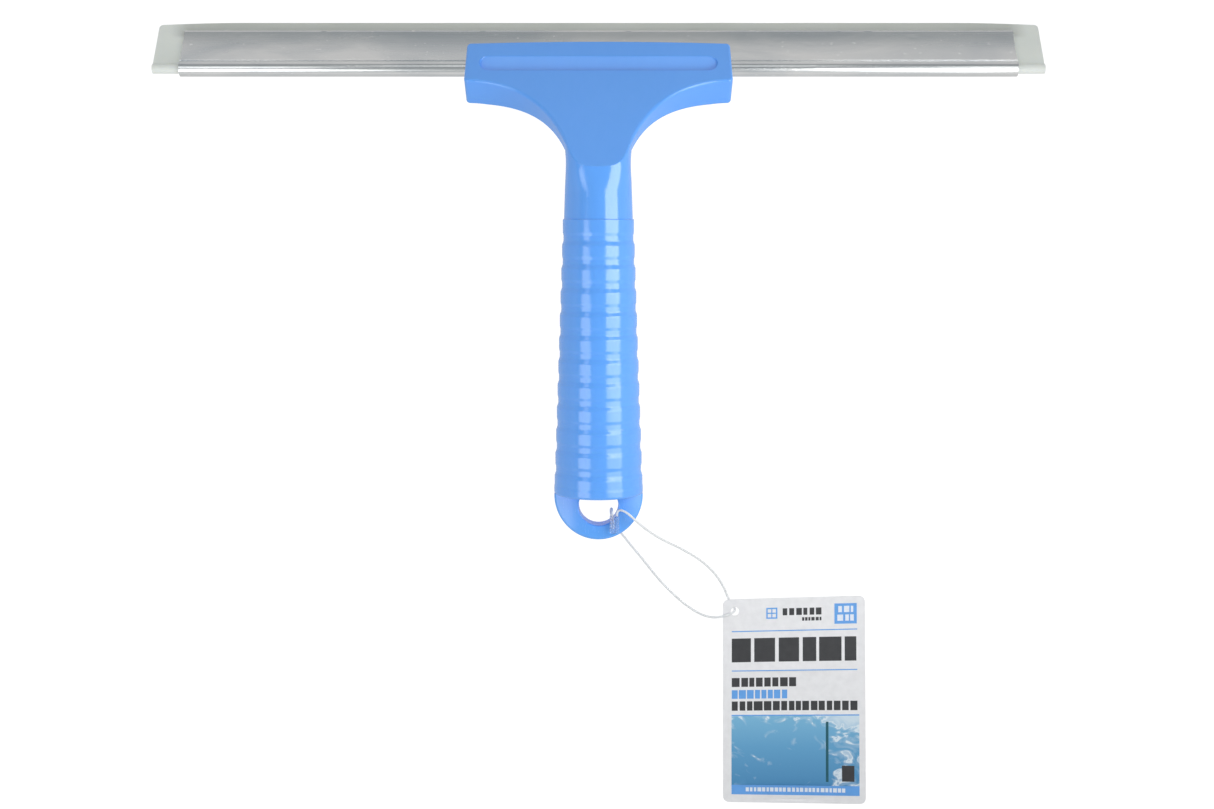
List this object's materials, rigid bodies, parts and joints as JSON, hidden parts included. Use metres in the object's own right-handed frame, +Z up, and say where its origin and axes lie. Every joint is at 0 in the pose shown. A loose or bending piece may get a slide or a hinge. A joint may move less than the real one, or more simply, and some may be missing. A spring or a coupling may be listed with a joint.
{
  "type": "window squeegee",
  "caption": "Hand squeegee with a ribbed moulded handle, flared head, metal blade holder, pale rubber strip, hanging loop and swing tag.",
  "frame": {"origin": "centre of the bounding box of the squeegee on the table it lies on, without its tag and string", "axes": "+X along the blade, +Y from the hanging loop to the blade, +Z up from the table"},
  "size_m": [0.3, 0.2666, 0.0378],
  "materials": {
    "handle_plastic": "glossy moulded polypropylene, mid blue",
    "loop_plastic": "glossy moulded polypropylene, slightly deeper blue",
    "holder_aluminium": "mill-finish extrusion with lengthwise draw lines",
    "blade_rubber": "smooth pale grey translucent rubber",
    "tag_card": null,
    "clear_nylon": "clear glossy nylon"
  },
  "bodies": {
    "handle": {"handle_body": "handle_plastic", "hang_loop_plug": "loop_plastic", "blade_channel": "holder_aluminium"},
    "blade": {"rubber_blade": "blade_rubber"},
    "tag_loop": {"tag_string": "clear_nylon", "string_lock": "clear_nylon", "string_barb": "clear_nylon"},
    "tag": {"swing_tag": "tag_card"}
  },
  "joints": [
    {"name": "blade_slide", "type": "slide", "parent": "handle", "child": "blade", "axis": [1, 0, 0], "range_m": [-0.28, 0.28]},
    {"name": "loop_swing", "type": "hinge", "parent": "handle", "child": "tag_loop", "pos_m": [0.0045, -0.0792, 0.014], "axis": [0, 0, 1], "range_deg": [-50, 12]},
    {"name": "tag_swivel", "type": "hinge", "parent": "tag_loop", "child": "tag", "pos_m": [0.0466, -0.11305, 0.00125], "axis": [0, 0, 1], "range_deg": [-35, 60]}
  ]
}
